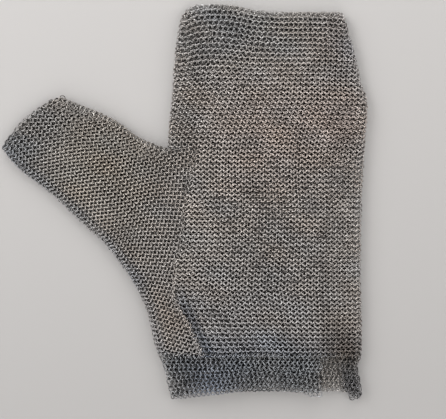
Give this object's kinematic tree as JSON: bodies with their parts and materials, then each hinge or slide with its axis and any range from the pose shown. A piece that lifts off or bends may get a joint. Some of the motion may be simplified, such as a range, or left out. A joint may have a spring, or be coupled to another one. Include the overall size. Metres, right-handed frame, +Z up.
{
  "type": "cut resistant glove",
  "caption": "Ring-mesh cut resistant mitten lying flat: one wide finger pocket, a thumb stall on an angled gusset, and a short cuff band with an open slit at its outer edge.",
  "frame": {"origin": "middle of the overall box's base, on the face the glove lies on", "axes": "+Y to the fingertips, +X away from the thumb, +Z up out of the palm side"},
  "size_m": [0.2526, 0.2746, 0.0101],
  "materials": {
    "steel_rings_front": "worn round-wire steel rings, warm grey",
    "steel_rings_back": "worn round-wire steel rings, warm grey, a little darker",
    "steel_rings_edge": "round-wire steel rings at the edges, rubbed brighter",
    "steel_rings_cuff": "tighter round-wire steel rings of the cuff, darker blue-grey"
  },
  "bodies": {
    "palm": {"palm_front_sheet": "steel_rings_front", "thumb_gusset_front_sheet": "steel_rings_front", "thumb_gusset_seam_row": "steel_rings_edge", "palm_back_sheet": "steel_rings_back", "palm_right_side_wall": "steel_rings_edge", "thumb_crotch_wall": "steel_rings_edge", "palm_left_side_wall": "steel_rings_edge"},
    "finger_base": {"finger_base_front_sheet": "steel_rings_front", "finger_base_back_sheet": "steel_rings_back", "finger_base_right_wall": "steel_rings_edge", "finger_base_left_wall": "steel_rings_edge"},
    "finger_tip": {"finger_tip_front_sheet": "steel_rings_front", "finger_tip_back_sheet": "steel_rings_back", "finger_tip_right_wall": "steel_rings_edge", "finger_tip_closing_row": "steel_rings_edge", "finger_tip_left_wall": "steel_rings_edge"},
    "thumb_base": {"thumb_base_front_sheet": "steel_rings_front", "thumb_base_back_sheet": "steel_rings_back", "thumb_base_upper_wall": "steel_rings_edge", "thumb_base_lower_wall": "steel_rings_edge"},
    "thumb_tip": {"thumb_tip_front_sheet": "steel_rings_front", "thumb_tip_back_sheet": "steel_rings_back", "thumb_tip_upper_wall": "steel_rings_edge", "thumb_tip_closing_row": "steel_rings_edge", "thumb_tip_lower_wall": "steel_rings_edge"},
    "cuff": {"cuff_front_band": "steel_rings_cuff", "cuff_front_open_row": "steel_rings_edge", "cuff_back_band": "steel_rings_cuff", "cuff_back_open_row": "steel_rings_edge", "cuff_left_wall": "steel_rings_cuff", "cuff_right_wall": "steel_rings_cuff"},
    "slit_flap": {"cuff_slit_flap": "steel_rings_cuff"}
  },
  "joints": [
    {"name": "wrist_bend", "type": "hinge", "parent": "palm", "child": "cuff", "pos_m": [0.05, -0.1035, 0.00959], "axis": [-1, 0, 0], "range_deg": [0, 85]},
    {"name": "slit_flap_open", "type": "hinge", "parent": "cuff", "child": "slit_flap", "pos_m": [0.11855, -0.12, 0.00959], "axis": [0, 1, 0], "range_deg": [0, 110]},
    {"name": "knuckle_bend", "type": "hinge", "parent": "palm", "child": "finger_base", "pos_m": [0.057, 0.044, 0.00959], "axis": [1, 0, 0], "range_deg": [0, 85]},
    {"name": "finger_bend", "type": "hinge", "parent": "finger_base", "child": "finger_tip", "pos_m": [0.057, 0.088, 0.00959], "axis": [1, 0, 0], "range_deg": [0, 85]},
    {"name": "thumb_root_bend", "type": "hinge", "parent": "palm", "child": "thumb_base", "pos_m": [-0.021, 0.0383, 0.00959], "axis": [0.7387, 0.674, 0], "range_deg": [0, 60]},
    {"name": "thumb_tip_bend", "type": "hinge", "parent": "thumb_base", "child": "thumb_tip", "pos_m": [-0.04392, 0.06342, 0.00959], "axis": [0.7387, 0.674, 0], "range_deg": [0, 50]}
  ]
}
